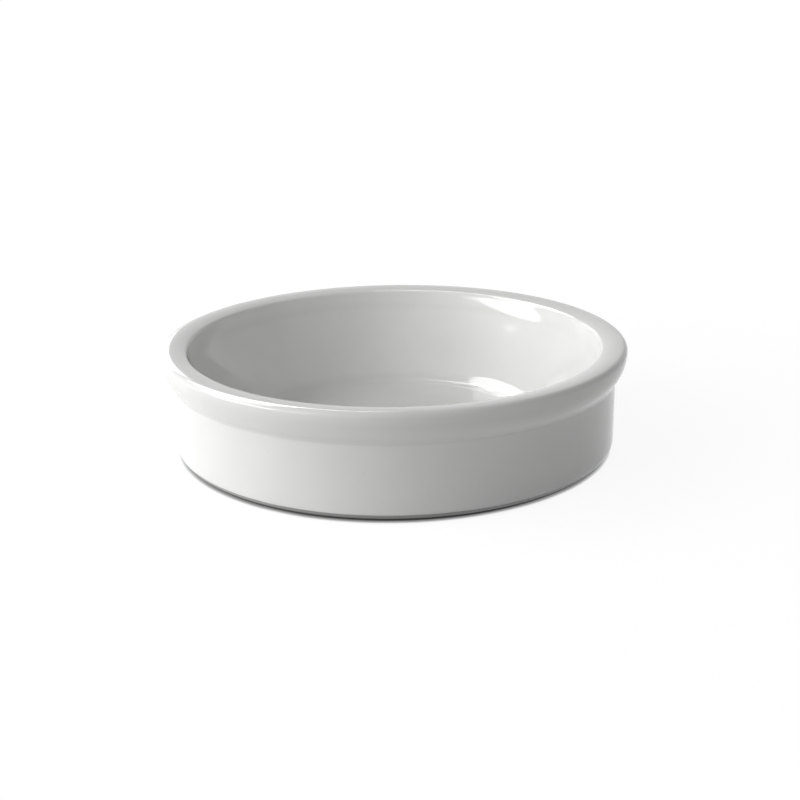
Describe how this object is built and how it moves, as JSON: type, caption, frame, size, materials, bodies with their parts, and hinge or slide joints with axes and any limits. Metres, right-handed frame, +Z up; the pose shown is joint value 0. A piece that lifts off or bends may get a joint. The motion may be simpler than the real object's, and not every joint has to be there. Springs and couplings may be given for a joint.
{
  "type": "creme brulee dish",
  "caption": "Round shallow glazed porcelain baking dish with a rolled rim bead, upright outside wall, inside wall sloping in to a flat floor, and a bare foot ring, for baking and serving custard.",
  "frame": {"origin": "on the table, on the axis of the dish", "axes": "+Z up along the axis of the dish, out of its mouth"},
  "size_m": [0.13, 0.13, 0.0297],
  "materials": {
    "biscuit_porcelain": "matt, bare fired clay",
    "white_glaze": "glossy white glaze"
  },
  "bodies": {
    "root": {"porcelain_body": "biscuit_porcelain", "glaze_coat": "white_glaze", "underside_glaze": "white_glaze"}
  },
  "joints": []
}
